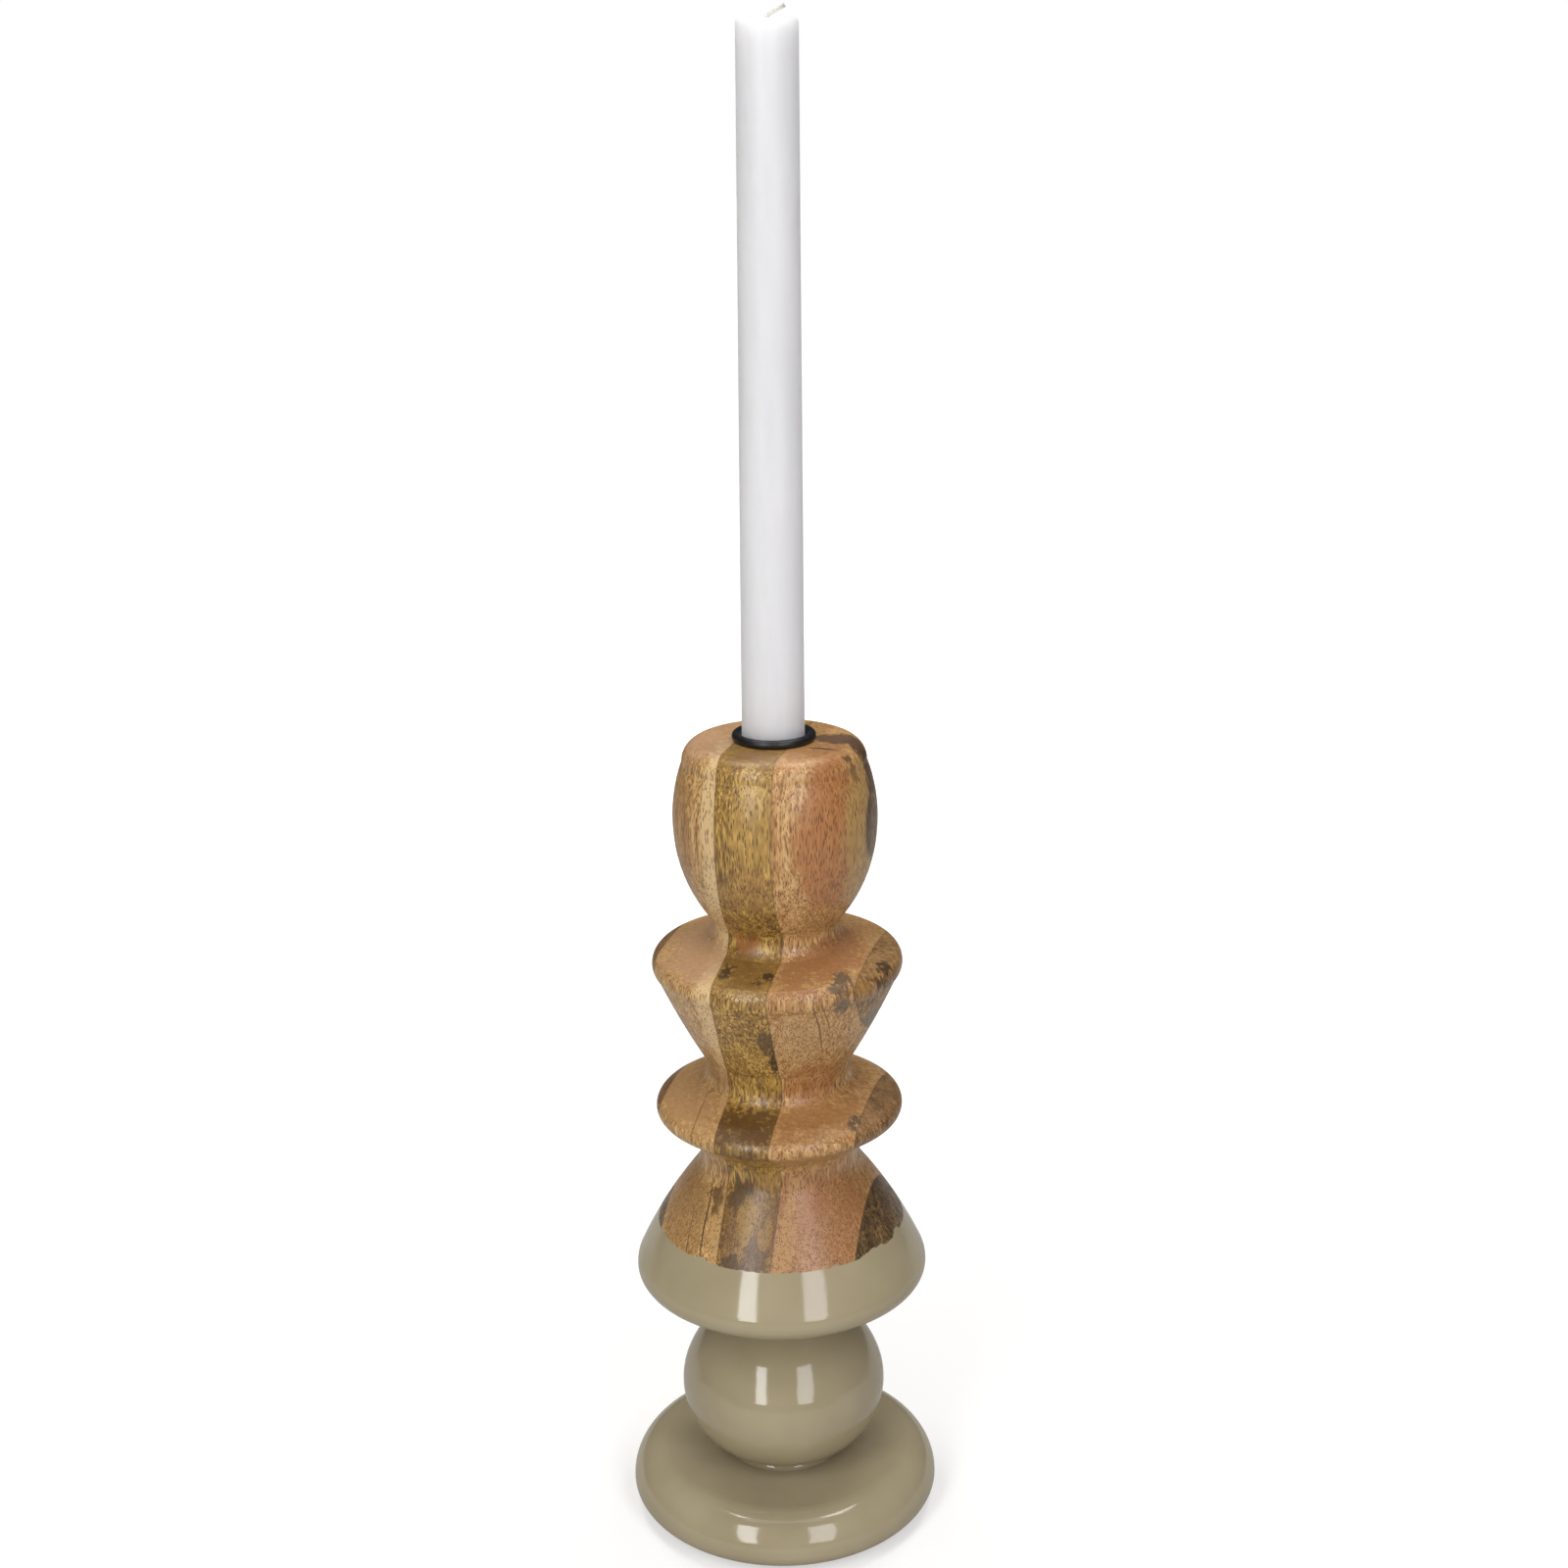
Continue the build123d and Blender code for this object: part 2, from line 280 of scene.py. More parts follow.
def open_pores(tree, look, fields):
    """Mask of the open pores: long cells, each with a thin vessel at its middle, in loose bands."""
    gap = look["pore_gap"]
    cells = add(
        tree,
        "ShaderNodeMapping",
        {"Vector": fields["bent"], "Scale": (1 / gap, 1 / gap, 1 / PORE_LENGTH)},
    ).outputs[0]
    vessels = add(tree, "ShaderNodeTexVoronoi", {"Vector": cells, "Scale": 1.0})
    vessel = add(
        tree,
        "ShaderNodeMapRange",
        {0: vessels.outputs["Distance"], 1: 0.4, 2: 0.28, 3: 0.0, 4: 1.0},
    ).outputs[0]
    # Each cell's random colour says whether it is open; the clouds thin the open ones out in places
    chance = add(tree, "ShaderNodeSeparateColor", {0: vessels.outputs["Color"]}).outputs[0]
    needed = add(
        tree,
        "ShaderNodeMapRange",
        {0: fields["clouds"], 1: 0.35, 2: 0.65, 3: 1.25 - look["pores"], 4: 0.75 - look["pores"]},
    ).outputs[0]
    is_open = add(tree, "ShaderNodeMath", {0: chance, 1: needed}, operation="GREATER_THAN").outputs[0]
    pores = add(tree, "ShaderNodeMath", {0: vessel, 1: is_open}, operation="MULTIPLY").outputs[0]
    return add(
        tree, "ShaderNodeMath", {0: pores, 1: fields["upright"]}, operation="MULTIPLY"
    ).outputs[0]


def glue_line(tree, across, planes):
    """Mask of the thin dark line where this plank meets the next, half a millimetre each side."""
    near = None
    for plane in planes:
        gap = add(tree, "ShaderNodeMath", {0: across, 1: plane}, operation="SUBTRACT").outputs[0]
        gap = add(tree, "ShaderNodeMath", {0: gap}, operation="ABSOLUTE").outputs[0]
        near = gap if near is None else add(
            tree, "ShaderNodeMath", {0: gap, 1: near}, operation="MINIMUM"
        ).outputs[0]
    return add(tree, "ShaderNodeMapRange", {0: near, 1: 0.05, 2: 0.45, 3: 1.0, 4: 0.0}).outputs[0]


def brushed_over(tree, place, height):
    """Mask of enamel brushed a little past its line, most of it within a millimetre."""
    past = add(
        tree, "ShaderNodeTexNoise", {"Vector": place, "Scale": 1 / BRUSHED_WIDTH, "Detail": 5.0}
    ).outputs["Fac"]
    past = add(
        tree, "ShaderNodeMapRange", {0: past, 1: 0.5, 2: 0.75, 3: 0.0, 4: BRUSHED_PAST}
    ).outputs[0]
    above = add(tree, "ShaderNodeMath", {0: height, 1: ENAMEL_TOP_MM}, operation="SUBTRACT").outputs[0]
    spare = add(tree, "ShaderNodeMath", {0: past, 1: above}, operation="SUBTRACT").outputs[0]
    return add(tree, "ShaderNodeMapRange", {0: spare, 1: -0.1, 2: 0.1, 3: 0.0, 4: 1.0}).outputs[0]


def wood(name, look, stains=(), cracks=()):
    """Turned and lacquered hardwood, grain upright.

    Growth rings round a pith, fibre streaks 1 to 2 mm wide and 30 mm long, open pores
    0.3 mm wide and 3 mm long that end as dots on flat faces, and a clear satin lacquer.
    """
    material, tree, place = new_material(name)
    place = add(
        tree, "ShaderNodeMapping", {"Vector": place, "Rotation": (0, 0, math.radians(-PLANK_TURN))}
    ).outputs[0]
    axes = add(tree, "ShaderNodeSeparateXYZ", {0: place})
    fields = grain(tree, place, look)
    pores = open_pores(tree, look, fields)
    painted = brushed_over(tree, place, axes.outputs["Z"])
    colour = clean_wood(tree, look, fields)
    colour = stained(tree, colour, place, fields, stains, cracks)
    colour = tint(tree, colour, pores, look["pore"], look["pore_depth"])
    colour = tint(tree, colour, glue_line(tree, axes.outputs["X"], look["glue"]), "#4A3420", 0.45)
    colour = tint(tree, colour, painted, ENAMEL_COLOUR)
    matt = add(
        tree, "ShaderNodeMapRange", {0: fields["streaks"], 1: 0.3, 2: 0.7, 3: 0.5, 4: 0.36}
    ).outputs[0]
    matt = add(
        tree, "ShaderNodeMix", {0: painted, 2: matt, 3: ENAMEL_ROUGHNESS}, data_type="FLOAT"
    ).outputs[0]
    relief = 0.0
    for field, height in ((pores, PORE_RELIEF), (fields["hairs"], HAIR_RELIEF)):
        relief = add(
            tree, "ShaderNodeMath", {0: field, 1: height, 2: relief}, operation="MULTIPLY_ADD"
        ).outputs[0]
    bump = add(tree, "ShaderNodeBump", {"Height": relief, "Strength": 1.0, "Distance": MM}).outputs[0]
    close(
        tree,
        {
            "Base Color": colour,
            "Roughness": matt,
            "Normal": bump,
            "IOR": LACQUER_IOR,
            "Coat Weight": 0.2,
            "Coat Roughness": 0.26,
        },
    )
    return material


def enamel():
    """Gloss enamel paint on turned wood, brushed while turning: taupe, smooth, with slow waves."""
    material, tree, place = new_material("gloss_enamel")
    clouds = add(
        tree, "ShaderNodeTexNoise", {"Vector": place, "Scale": 1 / 25, "Detail": 3.0}
    ).outputs["Fac"]
    colour = add(
        tree, "ShaderNodeValToRGB", {"Fac": clouds}, [(0.3, "#9B8F72"), (0.7, "#A5997C")]
    ).outputs["Color"]
    # Brush lines run round the stick, so they depend nearly on the height alone
    level = add(tree, "ShaderNodeMapping", {"Vector": place, "Scale": (0.03, 0.03, 1)}).outputs[0]
    # Relief: slow waves, orange peel and brush lines, each as its width and height in millimetres
    relief = 0.0
    for around, width, detail, height in (
        (place, 14.0, 1.0, 0.22),
        (place, 2.5, 1.0, 0.012),
        (level, 0.8, 3.0, 0.003),
    ):
        ripple = add(
            tree, "ShaderNodeTexNoise", {"Vector": around, "Scale": 1 / width, "Detail": detail}
        ).outputs["Fac"]
        relief = add(
            tree, "ShaderNodeMath", {0: ripple, 1: height, 2: relief}, operation="MULTIPLY_ADD"
        ).outputs[0]
    bump = add(tree, "ShaderNodeBump", {"Height": relief, "Strength": 1.0, "Distance": MM}).outputs[0]
    close(tree, {"Base Color": colour, "Roughness": 0.1, "Normal": bump, "IOR": PAINT_IOR})
    return material


def painted_iron():
    """Thin steel cup, dipped in black stove paint: blue-black, satin, softly uneven."""
    material, tree, place = new_material("black_stove_paint")
    film = add(
        tree, "ShaderNodeTexNoise", {"Vector": place, "Scale": 1 / 1.8, "Detail": 4.0}
    ).outputs["Fac"]
    colour = add(
        tree, "ShaderNodeValToRGB", {"Fac": film}, [(0.35, "#0D0E10"), (0.7, "#17181B")]
    ).outputs["Color"]
    matt = add(tree, "ShaderNodeMapRange", {0: film, 1: 0.3, 2: 0.7, 3: 0.34, 4: 0.48}).outputs[0]
    bump = add(
        tree, "ShaderNodeBump", {"Height": film, "Strength": 1.0, "Distance": 0.03 * MM}
    ).outputs[0]
    close(tree, {"Base Color": colour, "Roughness": matt, "Normal": bump, "IOR": PAINT_IOR})
    return material


def zinc_steel():
    """Zinc-plated steel screw: bright, a little blotchy."""
    material, tree, place = new_material("zinc_plated_steel")
    spangle = add(
        tree, "ShaderNodeTexNoise", {"Vector": place, "Scale": 1.0, "Detail": 3.0}
    ).outputs["Fac"]
    colour = add(
        tree, "ShaderNodeValToRGB", {"Fac": spangle}, [(0.3, "#A9A79E"), (0.7, "#C9C7BF")]
    ).outputs["Color"]
    matt = add(tree, "ShaderNodeMapRange", {0: spangle, 3: 0.25, 4: 0.45}).outputs[0]
    close(tree, {"Base Color": colour, "Metallic": 1.0, "Roughness": matt})
    return material


def felt():
    """Pressed wool felt, dark grey: matted fibres under half a millimetre wide."""
    material, tree, place = new_material("pressed_felt")
    nap = add(
        tree, "ShaderNodeTexNoise", {"Vector": place, "Scale": 1 / 0.5, "Detail": 5.0, "Distortion": 1.5}
    ).outputs["Fac"]
    colour = add(
        tree, "ShaderNodeValToRGB", {"Fac": nap}, [(0.3, "#26262A"), (0.7, "#45454A")]
    ).outputs["Color"]
    bump = add(
        tree, "ShaderNodeBump", {"Height": nap, "Strength": 1.0, "Distance": 0.2 * MM}
    ).outputs[0]
    close(tree, {"Base Color": colour, "Roughness": 0.95, "Normal": bump, "Sheen Weight": 0.4})
    return material


def wax():
    """Cast paraffin wax, white: light sinks in deep, the skin is dull and softly clouded."""
    material, tree, place = new_material("paraffin_wax")
    streaky = add(tree, "ShaderNodeMapping", {"Vector": place, "Scale": (1, 1, 0.15)}).outputs[0]
    clouds = add(
        tree, "ShaderNodeTexNoise", {"Vector": streaky, "Scale": 1 / 6, "Detail": 4.0}
    ).outputs["Fac"]
    colour = add(
        tree, "ShaderNodeValToRGB", {"Fac": clouds}, [(0.3, "#D6D6D8"), (0.7, "#DEDDDE")]
    ).outputs["Color"]
    dimples = add(
        tree, "ShaderNodeTexNoise", {"Vector": place, "Scale": 1 / 3, "Detail": 3.0}
    ).outputs["Fac"]
    bump = add(
        tree, "ShaderNodeBump", {"Height": dimples, "Strength": 1.0, "Distance": 0.05 * MM}
    ).outputs[0]
    close(
        tree,
        {
            "Base Color": colour,
            "Roughness": 0.45,
            "Normal": bump,
            "IOR": WAX_IOR,
            "Subsurface Weight": 1.0,
            "Subsurface Radius": (1.0, 0.95, 0.9),
            "Subsurface Scale": 28 * MM,
        },
    )
    return material


def cotton():
    """Plaited cotton wick, primed with wax: cream, dusty grey at its free end."""
    material, tree, place = new_material("plaited_cotton")
    yarn = add(
        tree, "ShaderNodeTexNoise", {"Vector": place, "Scale": 1 / 0.25, "Detail": 3.0}
    ).outputs["Fac"]
    colour = add(
        tree, "ShaderNodeValToRGB", {"Fac": yarn}, [(0.3, "#CFCDC2"), (0.7, "#EDEBE2")]
    ).outputs["Color"]
    out = add(tree, "ShaderNodeSeparateXYZ", {0: place}).outputs["X"]
    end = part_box("candle_wick")[1].x / MM
    dusty = add(
        tree, "ShaderNodeMapRange", {0: out, 1: end - 2.2, 2: end - 0.6, 3: 0.0, 4: 1.0}
    ).outputs[0]
    colour = tint(tree, colour, dusty, "#8F8E89", 0.6)
    bump = add(
        tree, "ShaderNodeBump", {"Height": yarn, "Strength": 1.0, "Distance": 0.08 * MM}
    ).outputs[0]
    close(tree, {"Base Color": colour, "Roughness": 0.7, "Normal": bump, "Sheen Weight": 0.2})
    return material


# Woods. Lengths in millimetres; a stain is its centre (across, back, up), radii, colour, strength
PALE_LOOK = {
    "dark": "#926E3C",
    "middle": "#BA915C",
    "pale": "#D8AF74",
    "bend": 9.0,
    "pith": (-55.0, 30.0),
    "tilt": 3.0,
    "ring": 5.5,
    "rings": 0.08,
    "streaks": 1.9,
    "hairs": 1.9,
    "clouds": 0.6,
    "cloud": 16.0,
    "pore": "#61411F",
    "pores": 0.85,
    "pore_gap": 0.6,
    "pore_depth": 0.8,
    "glue": (OUTER_LEFT_GLUE_MM, LEFT_GLUE_MM),
}
PALE_STAINS = [
    # Painted highlight: a paler strip beside the glue line, the lacquer's soft highlight painted into
    # the wood
    ((-13.5, -20, 255), (5, 60, 75), "#D9BA88", 0.8),
    # Orange-brown flank of the head
    ((-31, -12, 268), (9, 40, 30), "#996B37", 0.5),
    ((-24, -6, 303), (16, 40, 5), "#BC9272", 0.75),
    # Pinkish upper faces of the discs
    ((-28, -10, 227), (18, 40, 6), "#B38C68", 0.75),
    ((-28, -10, 169), (18, 40, 5), "#A97F52", 0.7),
    # Knotty patch and darker flank of the cone
    ((-16.5, -27, 138), (2.5, 8, 6), "#614627", 0.8),
    ((-29, -24, 128), (9, 40, 18), "#977145", 0.6),
    ((-13.5, -35, 128), (3, 40, 14), "#BA955D", 0.7),
    ((-17, -22, 181), (6, 12, 7), "#876238", 0.5),
]
BROWN_LOOK = PALE_LOOK | {
    "dark": "#63441B",
    "middle": "#967237",
    "pale": "#CBA454",
    "bend": 14.0,
    "pith": (4.0, 60.0),
    "ring": 4.0,
    "streaks": 1.0,
    "hairs": 1.9,
    "clouds": 1.0,
    "cloud": 9.0,
    "pore": "#442C10",
    "pores": 0.6,
    "glue": (LEFT_GLUE_MM, RIGHT_GLUE_MM),
}
BROWN_STAINS = [
    # Painted sheen: a golden patch at the head's middle, where the left softbox reflects; plainer brown
    # on its top
    ((2, -34, 280), (9, 8, 16), "#B58F45", 0.45),
    ((-1, -15, 303), (15, 30, 4), "#836136", 0.8),
    ((-1, -33, 256), (11, 8, 7), "#9A7038", 0.5),
    ((-5, -22, 233), (5, 6, 4), "#935B26", 0.7),
    # Upper disc: knots on its top, stain by the glue line beneath
    ((-2, -30, 227), (12, 12, 3.5), "#775628", 0.7),
    ((-9.5, -31, 226), (3, 4, 3), "#3B2A16", 0.9),
    ((5.5, -33, 226), (2.4, 3, 3), "#352616", 0.9),
    ((3.5, -37, 225), (2, 2, 2), "#3C2B18", 0.8),
    ((6.5, -37, 203), (3.5, 8, 7), "#4C3B24", 0.75),
    ((7.5, -31, 192), (2, 8, 6), "#2F2417", 0.9),
    # Lower disc and its necks
    ((6, -26, 182), (3, 6, 4), "#AC853B", 0.6),
    ((-3, -35, 170), (13, 14, 4), "#573A18", 0.85),
    ((-2, -40, 163), (12, 8, 3), "#4D3318", 0.6),
    # Cone: gold streak between grey-brown clouds
    ((-2, -36, 131), (14, 40, 17), "#664420", 0.6),
    ((-8, -29, 141), (4.5, 8, 6), "#503B1D", 0.8),
    ((2, -42, 123), (5, 6, 7), "#5D4322", 0.75),
    ((-7, -44, 119), (5, 5, 3.5), "#483318", 0.8),
    ((-4, -35, 133), (4, 8, 9), "#A5803C", 0.6),
    ((4, -38, 129), (2.5, 8, 4), "#9A7434", 0.6),
    ((3, -29, 147), (4, 6, 5), "#A47D39", 0.5),
]
PEACH_LOOK = PALE_LOOK | {
    "dark": "#8B6031",
    "middle": "#B58953",
    "pale": "#D0A973",
    "bend": 12.0,
    "pith": (30.0, -60.0),
    "ring": 6.0,
    "rings": 0.05,
    "streaks": 1.7,
    "hairs": 1.6,
    "clouds": 0.6,
    "cloud": 18.0,
    "pore": "#683F1D",
    "pores": 0.95,
    "glue": (RIGHT_GLUE_MM, OUTER_RIGHT_GLUE_MM),
}
PEACH_STAINS = [
    # Reddish heart of the head, yellower at its right, a black-purple streak on its top
    ((24, -20, 272), (8.5, 60, 27), "#A16436", 0.7),
    ((34.5, -8, 270), (5, 40, 28), "#AE8C52", 0.7),
    ((20, -20, 303), (13, 30, 5), "#A77448", 0.5),
    ((34.5, 3.2, 284), (5, 6, 16), "#46301E", 0.9),
    ((30.5, 3.5, 297), (6, 6.5, 6), "#46301E", 0.9),
    ((23, 5.5, 301), (10, 6.5, 8), "#5B4634", 0.9),
    ((29, -11, 296.5), (1.8, 2.2, 3.5), "#4E3526", 0.75),
    ((31, -10, 291.5), (1.5, 2.2, 4.5), "#6F4E2B", 0.6),
    ((25.5, -21.5, 257), (3.5, 4, 3), "#704726", 0.45),
    # Upper disc: pink top, spalted patch near the right glue line
    ((22, -20, 227), (14, 40, 4.5), "#9A663E", 0.75),
    ((30.5, -27, 222), (3.5, 7, 3), "#504536", 0.8),
    ((31.5, -30, 214), (3, 5, 6), "#534A3D", 0.75),
    ((16, -30, 203), (9, 20, 14), "#B69262", 0.5),
    ((18, -20, 181), (11, 14, 7), "#9A5D2C", 0.5),
    # Lower disc: pink top with a dark stain by the glue line
    ((20, -20, 170), (14, 40, 4), "#9C6B3E", 0.6),
    ((33.5, -23, 168), (3, 5, 3), "#463C2E", 0.8),
    ((33.5, -29.5, 164), (1.6, 2, 1.4), "#BC6929", 0.7),
    # Cone: a shade deeper, with a paler edge and a reddish cloud
    ((20, -30, 129), (17, 40, 19), "#976440", 0.6),
    ((12, -36, 128), (3.5, 40, 16), "#B8915D", 0.6),
    ((17, -28, 136), (5, 14, 7), "#A0673E", 0.45),
]
DARK_LOOK = PALE_LOOK | {
    "dark": "#3A2A18",
    "middle": "#614A2D",
    "pale": "#8A6E45",
    "pith": (70.0, 10.0),
    "ring": 3.5,
    "rings": 0.15,
    "streaks": 1.0,
    "hairs": 2.2,
    "clouds": 1.3,
    "cloud": 8.0,
    "pore": "#261A0F",
    "glue": (OUTER_RIGHT_GLUE_MM, OUTER_LEFT_GLUE_MM),
}
SMOKY_LOOK = DARK_LOOK | {"dark": "#584026", "middle": "#86633B", "pale": "#A78155"}
SPALTED_LOOK = PALE_LOOK | {
    "dark": "#664926",
    "middle": "#977243",
    "pale": "#B48E5A",
    "clouds": 1.2,
    "cloud": 8.0,
    "glue": (OUTER_RIGHT_GLUE_MM, OUTER_LEFT_GLUE_MM),
}
SPALTED_STAINS = [
    ((42, -10, 223), (3, 4, 3), "#302217", 0.85),
    ((42, -15, 219), (2.5, 4, 3), "#3E2B1C", 0.8),
    ((36, -10, 201), (5, 9, 8), "#6A5D48", 0.7),
    ((38, -25, 219), (4, 5, 4), "#9C723A", 0.5),
]

# Hairline cracks, and a streak on the head's top: flat ellipsoids along the grain
PALE_CRACKS = [
    ((-19.8, -31, 129), (0.3, 22, 16), "#35220F", 0.85),
    ((-25.5, -27, 122), (0.25, 22, 9), "#4A2E16", 0.6),
    ((-21, -27, 168), (0.25, 30, 6), "#5A3A1E", 0.5),
]
PEACH_CRACKS = [
    ((23.4, -30, 208), (0.3, 20, 15), "#4A2C18", 0.75),
    ((26.8, -30, 212), (0.25, 12, 9), "#4A3022", 0.6),
    ((20.2, -9.3, 301), (5.4, 0.9, 8), "#4A3234", 0.85),
]

pale_wood = wood("pale_honey_wood", PALE_LOOK, PALE_STAINS, PALE_CRACKS)
brown_wood = wood("golden_brown_wood", BROWN_LOOK, BROWN_STAINS)
peach_wood = wood("peach_heartwood", PEACH_LOOK, PEACH_STAINS, PEACH_CRACKS)
dark_wood = wood("dark_wood", DARK_LOOK)
smoky_wood = wood("smoky_wood", SMOKY_LOOK)
spalted_wood = wood("spalted_wood", SPALTED_LOOK, SPALTED_STAINS)

FINISHES = {
    "left_plank": pale_wood,
    "brown_plank": brown_wood,
    "right_plank": peach_wood,
    "right_upper_disc_block": spalted_wood,
    "right_lower_disc_block": smoky_wood,
    "left_upper_disc_block": smoky_wood,
    "left_lower_disc_block": smoky_wood,
    "enamel_coat": enamel(),
    "candle_cup": painted_iron(),
    "cup_screw": zinc_steel(),
    "felt_pad": felt(),
    "candle": wax(),
    "candle_wick": cotton(),
}

for name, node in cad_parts.items():
    node.material_slots[0].material = FINISHES.get(name, dark_wood)


# Wick: runs up the leaning candle's middle, then bends over; millimetres and degrees
CANDLE_LEAN = 0.35
WICK_RADIUS = 0.75
WICK_BEND_RADIUS = 1.8
WICK_BEND = 62.0
WICK_TIP = 5.4
STRANDS = 3
STRAND_RADIUS = 0.33
STRAND_SIDES = 10
PLAIT_PITCH = 2.6
PLAIT_ACROSS = 0.38
PLAIT_DEPTH = 0.2
PLAIT_HIDDEN = 4.0
STRAIGHT_RINGS = 11
PLAIT_RINGS = 160


def wick_line():
    """Middle of the wick, as arrays: distance past the plait's start, x, z and heading.

    The line goes straight up the candle's leaning middle, round an arc and on straight.
    """
    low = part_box("candle_wick")[0] / MM
    lean = math.radians(CANDLE_LEAN)
    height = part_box("candle")[1].z / MM - low.z
    bend = math.radians(WICK_BEND)
    arc = WICK_BEND_RADIUS * bend
    plait_start = height - PLAIT_HIDDEN
    hidden = np.linspace(0, plait_start, STRAIGHT_RINGS, endpoint=False)
    shown = np.linspace(plait_start, height + arc + WICK_TIP, PLAIT_RINGS)
    along = np.concatenate([hidden, shown])
    turn = np.clip((along - height) / WICK_BEND_RADIUS, 0, bend)
    beyond = np.maximum(along - height - arc, 0)
    side = WICK_BEND_RADIUS * (1 - np.cos(turn)) + beyond * np.sin(turn)
    up = np.minimum(along, height) + WICK_BEND_RADIUS * np.sin(turn) + beyond * np.cos(turn)
    x = low.x + WICK_RADIUS + side * math.cos(lean) + up * math.sin(lean)
    z = low.z - side * math.sin(lean) + up * math.cos(lean)
    return along - plait_start, x, z, turn + lean


def strand(part, along, x, z, heading):
    """Points and faces of one strand: a circle carried along its middle, closed on a point at each end.

    The middle stands off the wick's line by across = A sin(p) and depth = B sin(2 p). The phase p
    grows one turn per pitch past the plait's start, and is part / 3 of a turn ahead. Before that
    start the strands run straight.
    """
    phase = 2 * np.pi * (np.maximum(along, 0) / PLAIT_PITCH + part / STRANDS)
    across = PLAIT_ACROSS * np.sin(phase)
    depth = PLAIT_DEPTH * np.sin(2 * phase)
    # The circle's corners, then its middle, which the poles need
    angles = np.linspace(0, 2 * np.pi, STRAND_SIDES, endpoint=False)
    ring_across = across[:, None] + STRAND_RADIUS * np.append(np.cos(angles), 0)
    ring_depth = depth[:, None] + STRAND_RADIUS * np.append(np.sin(angles), 0)
    ring_x = x[:, None] + ring_across * np.cos(heading)[:, None]
    ring_z = z[:, None] - ring_across * np.sin(heading)[:, None]
    points = np.stack([ring_x, ring_depth, ring_z], axis=-1)
    rings = points[:, :-1].reshape(-1, 3)
    poles = points[[0, -1], -1]
    start = part * (len(rings) + len(poles))
    this = np.arange(STRAND_SIDES)
    after = (this + 1) % STRAND_SIDES
    foot = start + STRAND_SIDES * np.arange(len(along) - 1)[:, None]
    head = foot + STRAND_SIDES
    walls = np.stack([foot + this, foot + after, head + after, head + this], axis=-1)
    pole = np.full(STRAND_SIDES, start + len(rings))
    last = start + len(rings) - STRAND_SIDES
    bottom = np.stack([pole, start + after, start + this], axis=-1)
    top = np.stack([pole + 1, last + this, last + after], axis=-1)
    faces = walls.reshape(-1, 4).tolist() + bottom.tolist() + top.tolist()
    return np.concatenate([rings, poles]), faces


def plaited_wick():
    """Wick of three plaited strands, riding with the candle."""
    strands = [strand(part, *wick_line()) for part in range(STRANDS)]
    points = np.concatenate([places for places, _ in strands]) * MM
    faces = sum((sides for _, sides in strands), [])
    mesh = bpy.data.meshes.new("plaited_wick")
    mesh.from_pydata(points.tolist(), [], faces)
    mesh.polygons.foreach_set("use_smooth", np.ones(len(mesh.polygons), bool))
    mesh.materials.append(FINISHES["candle_wick"])
    wick = bpy.data.objects.new("plaited_wick", mesh)
    bpy.context.scene.collection.objects.link(wick)
    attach(wick, "candle")
    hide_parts("candle_wick")


plaited_wick()

middle = (cad_low + cad_high) / 2


def lamp(name, centre, along, width, tall, radiance, reflected=True):
    """Softbox facing the stick's middle from a centre given from there; its long side runs along."""
    data = bpy.data.lights.new(name, "AREA")
    data.shape = "RECTANGLE"
    data.size = width
    data.size_y = tall
    data.energy = radiance * math.pi * width * tall
    box = bpy.data.objects.new(name, data)
    bpy.context.scene.collection.objects.link(box)
    outward = Vector(centre).normalized()
    side = Vector(along).cross(outward).normalized()
    upward = outward.cross(side)
    turned = Matrix((side, upward, outward)).transposed().to_4x4()
    box.matrix_world = Matrix.Translation(middle + Vector(centre)) @ turned
    box.visible_camera = False
    box.visible_glossy = reflected
    return box


# Two tall softboxes in front, two smaller ones and a broad faint one overhead, two behind
lamp("left_softbox", (-0.66, -1.12, 0.72), (-0.16, 0.12, 1), 0.34, 1.5, 9.2)
right_softbox = lamp("right_softbox", (0.64, -1.14, 0.72), (0.16, 0.12, 1), 0.46, 1.5, 5.5)
right_softbox.data.color = linear("#FBFAFF")[:3]
lamp("left_overhead_box", (-0.38, 0.25, 1.4), (0, 1, 0), 0.36, 0.5, 8.5)
lamp("right_overhead_box", (0.44, 0.25, 1.4), (0, 1, 0), 0.4, 0.5, 8.5)
lamp("top_box", (0.0, 0.1, 1.6), (0, 1, 0), 1.2, 0.9, 1.2)
lamp("left_back_box", (-0.7, 1.2, 0.7), (0, 0, 1), 0.5, 1.2, 2.2, reflected=False)
lamp("right_back_box", (0.7, 1.2, 0.7), (0, 0, 1), 0.5, 1.2, 2.2, reflected=False)

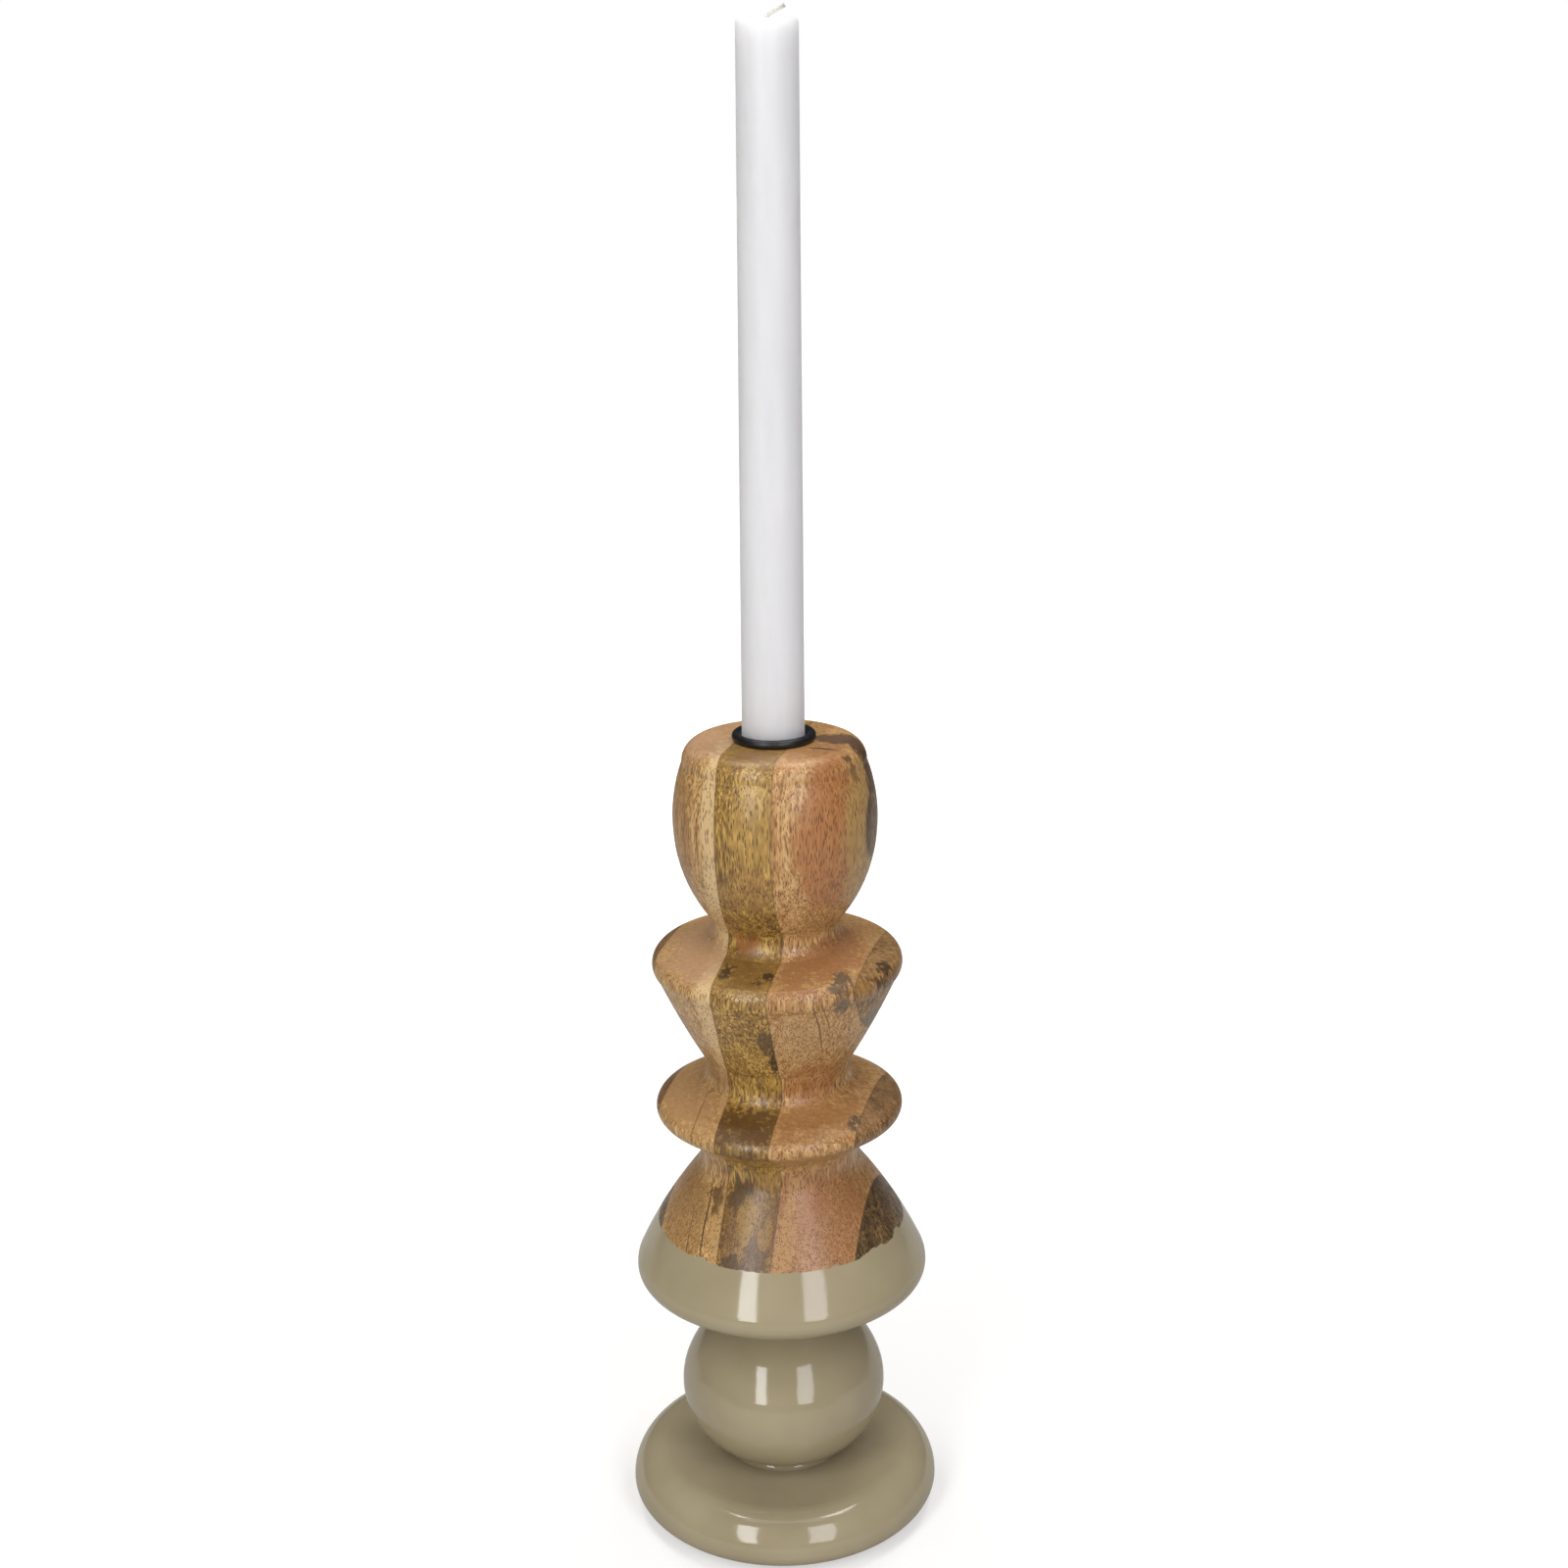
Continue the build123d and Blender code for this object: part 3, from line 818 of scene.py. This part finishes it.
# Plain pale floor, just under the felt; seen directly it glows into the white surroundings
FLOOR_DROP = 0.1 * MM
FLOOR_HALF = 15.0
NEAR_GLOW = 0.45
FAR_GLOW = 1.0
GLOW_REACH = 1.2
floor_mesh = bpy.data.meshes.new("floor")
corners = np.array([(-1, -1, 0), (1, -1, 0), (1, 1, 0), (-1, 1, 0)], float) * FLOOR_HALF
corners[:, 2] = cad_low.z - FLOOR_DROP
floor_mesh.from_pydata(corners.tolist(), [], [(0, 1, 2, 3)])
floor = bpy.data.objects.new("floor", floor_mesh)
bpy.context.scene.collection.objects.link(floor)
paper, paper_tree, paper_place = new_material("matt_paper")
looked_at = add(paper_tree, "ShaderNodeLightPath").outputs["Is Camera Ray"]
reach = add(paper_tree, "ShaderNodeVectorMath", {0: paper_place}, operation="LENGTH")
glow = add(
    paper_tree,
    "ShaderNodeMapRange",
    {0: reach.outputs["Value"], 1: 0.0, 2: GLOW_REACH / MM, 3: NEAR_GLOW, 4: FAR_GLOW},
).outputs[0]
glow = add(paper_tree, "ShaderNodeMath", {0: glow, 1: looked_at}, operation="MULTIPLY").outputs[0]
close(
    paper_tree,
    {
        "Base Color": linear("#C4C2BF"),
        "Roughness": 0.9,
        "Emission Color": linear("#FFFFFF"),
        "Emission Strength": glow,
    },
)
floor_mesh.materials.append(paper)

# White surroundings: bright to look at, faint as a light
WHITE_AS_LIGHT = 0.07
WHITE_AS_SEEN = 1.0
world = bpy.data.worlds.new("white_studio")
world.use_nodes = True
world.node_tree.nodes.clear()
seen = add(world.node_tree, "ShaderNodeLightPath").outputs["Is Camera Ray"]
strength = add(
    world.node_tree, "ShaderNodeMapRange", {0: seen, 3: WHITE_AS_LIGHT, 4: WHITE_AS_SEEN}
).outputs[0]
surround = add(
    world.node_tree, "ShaderNodeBackground", {"Color": linear("#FFFFFF"), "Strength": strength}
)
add(world.node_tree, "ShaderNodeOutputWorld", {"Surface": surround.outputs[0]})
bpy.context.scene.world = world
bpy.context.scene.view_settings.view_transform = "Standard"

# Camera: a 50 mm lens on a 36 mm wide sensor, looking down at the stick from the front
CAMERA_PLACE = (0.0033, -0.728, 0.5065)
CAMERA_PITCH = math.radians(17.0)
CAMERA_ROLL = math.radians(-0.8)
camera_data = bpy.data.cameras.new("camera")
camera_data.lens = 50
camera_data.sensor_width = 36
camera = bpy.data.objects.new("camera", camera_data)
bpy.context.scene.collection.objects.link(camera)
camera.matrix_world = (
    Matrix.Translation(CAMERA_PLACE)
    @ Matrix.Rotation(math.pi / 2 - CAMERA_PITCH, 4, "X")
    @ Matrix.Rotation(CAMERA_ROLL, 4, "Z")
)
bpy.context.scene.camera = camera
